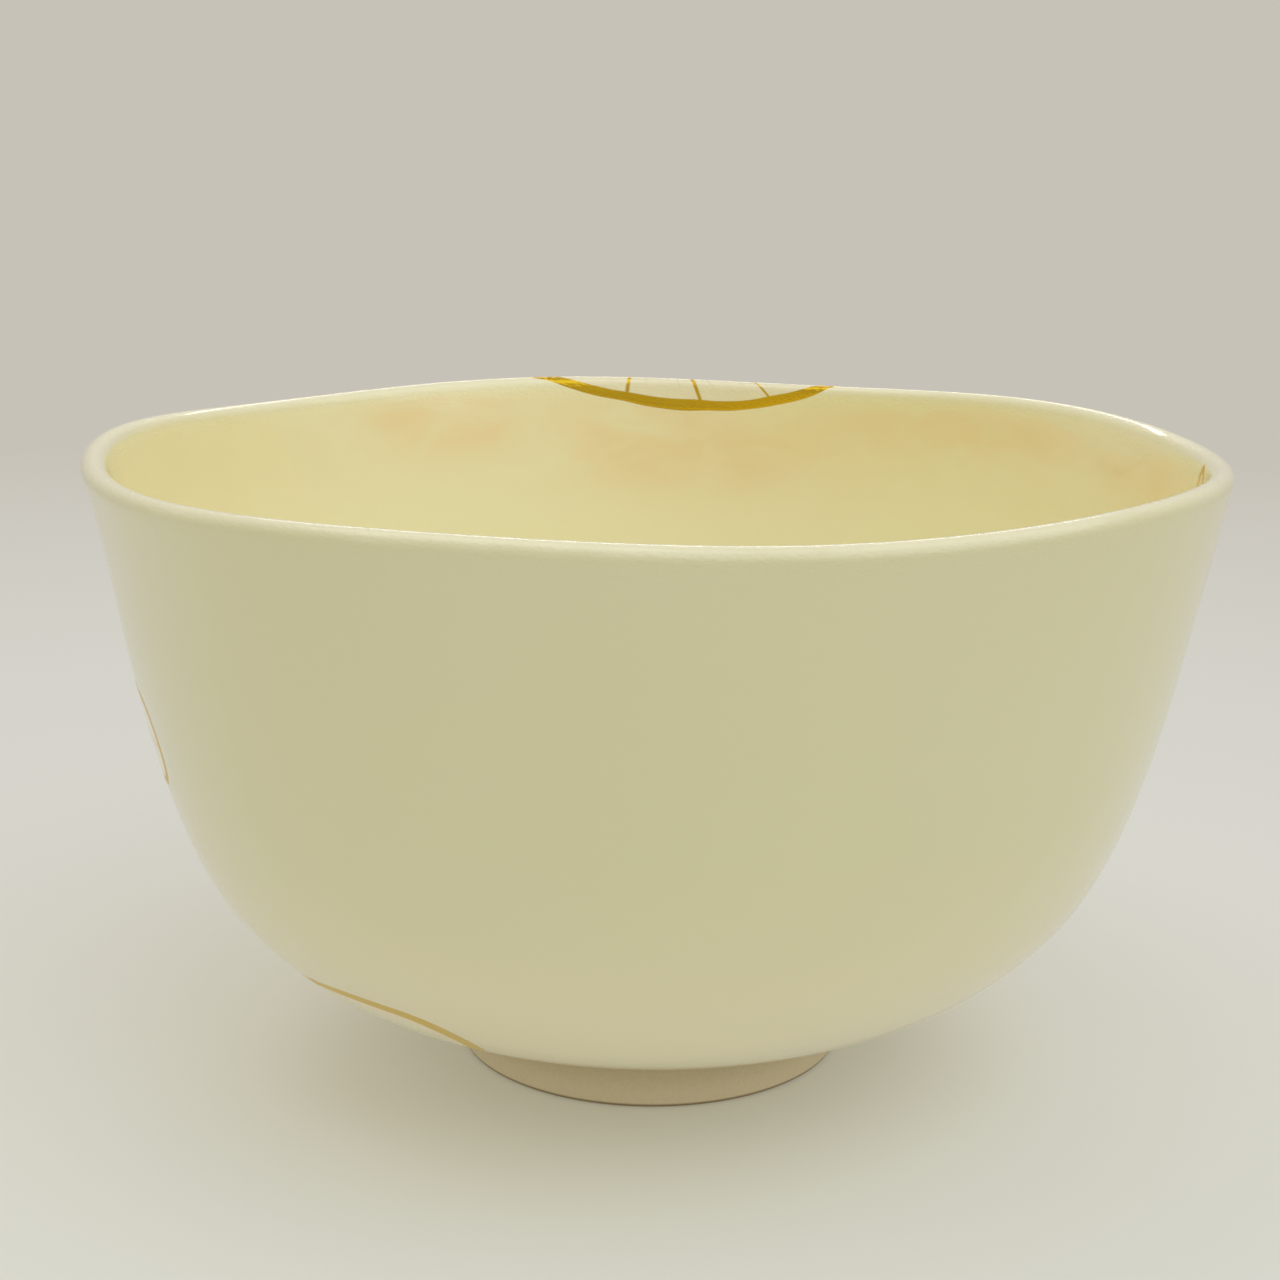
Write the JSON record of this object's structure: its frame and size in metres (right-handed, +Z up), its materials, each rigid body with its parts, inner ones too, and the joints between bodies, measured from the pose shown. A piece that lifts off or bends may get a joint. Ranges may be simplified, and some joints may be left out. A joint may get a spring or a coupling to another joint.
{
  "type": "tea bowl",
  "caption": "Footed ceramic tea bowl with a softly pressed, wavy lip, ivory glaze and gilded white blossoms.",
  "frame": {"origin": "on the surface the bowl stands on, under the middle of its mouth", "axes": "+Z up through the mouth, +Y away from the plain front, +X to the right of it"},
  "size_m": [0.1186, 0.1193, 0.068],
  "materials": {
    "ivory_glaze": "soft gloss ivory glaze, with white enamel blossoms outlined in gold, and a bare foot ring"
  },
  "bodies": {
    "root": {"bowl": "ivory_glaze"}
  },
  "joints": []
}
